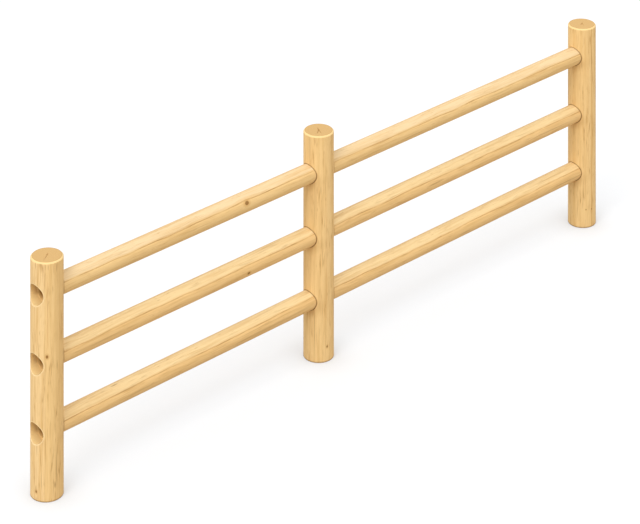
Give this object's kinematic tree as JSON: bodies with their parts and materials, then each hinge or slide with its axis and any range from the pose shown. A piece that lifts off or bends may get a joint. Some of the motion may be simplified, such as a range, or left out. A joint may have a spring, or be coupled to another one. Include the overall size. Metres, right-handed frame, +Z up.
{
  "type": "three-rail wooden fence",
  "caption": "Round timber fence: two bays of horizontal rails let into bored sockets in posts, with open sockets at both ends.",
  "frame": {"origin": "centre of the middle post's foot, at ground level", "axes": "+X along the fence towards the longer bay, +Y to the back, +Z up"},
  "size_m": [4.06, 0.16, 1.18],
  "materials": {
    "post_pine": "milled pine, bare, pale honey with upright grain",
    "rail_pine": "milled pine, bare, pale honey with grain along the rail"
  },
  "bodies": {
    "root": {"left_post": "post_pine", "middle_post": "post_pine", "right_post": "post_pine", "left_bottom_rail": "rail_pine", "left_middle_rail": "rail_pine", "left_top_rail": "rail_pine", "right_bottom_rail": "rail_pine", "right_middle_rail": "rail_pine", "right_top_rail": "rail_pine"}
  },
  "joints": []
}
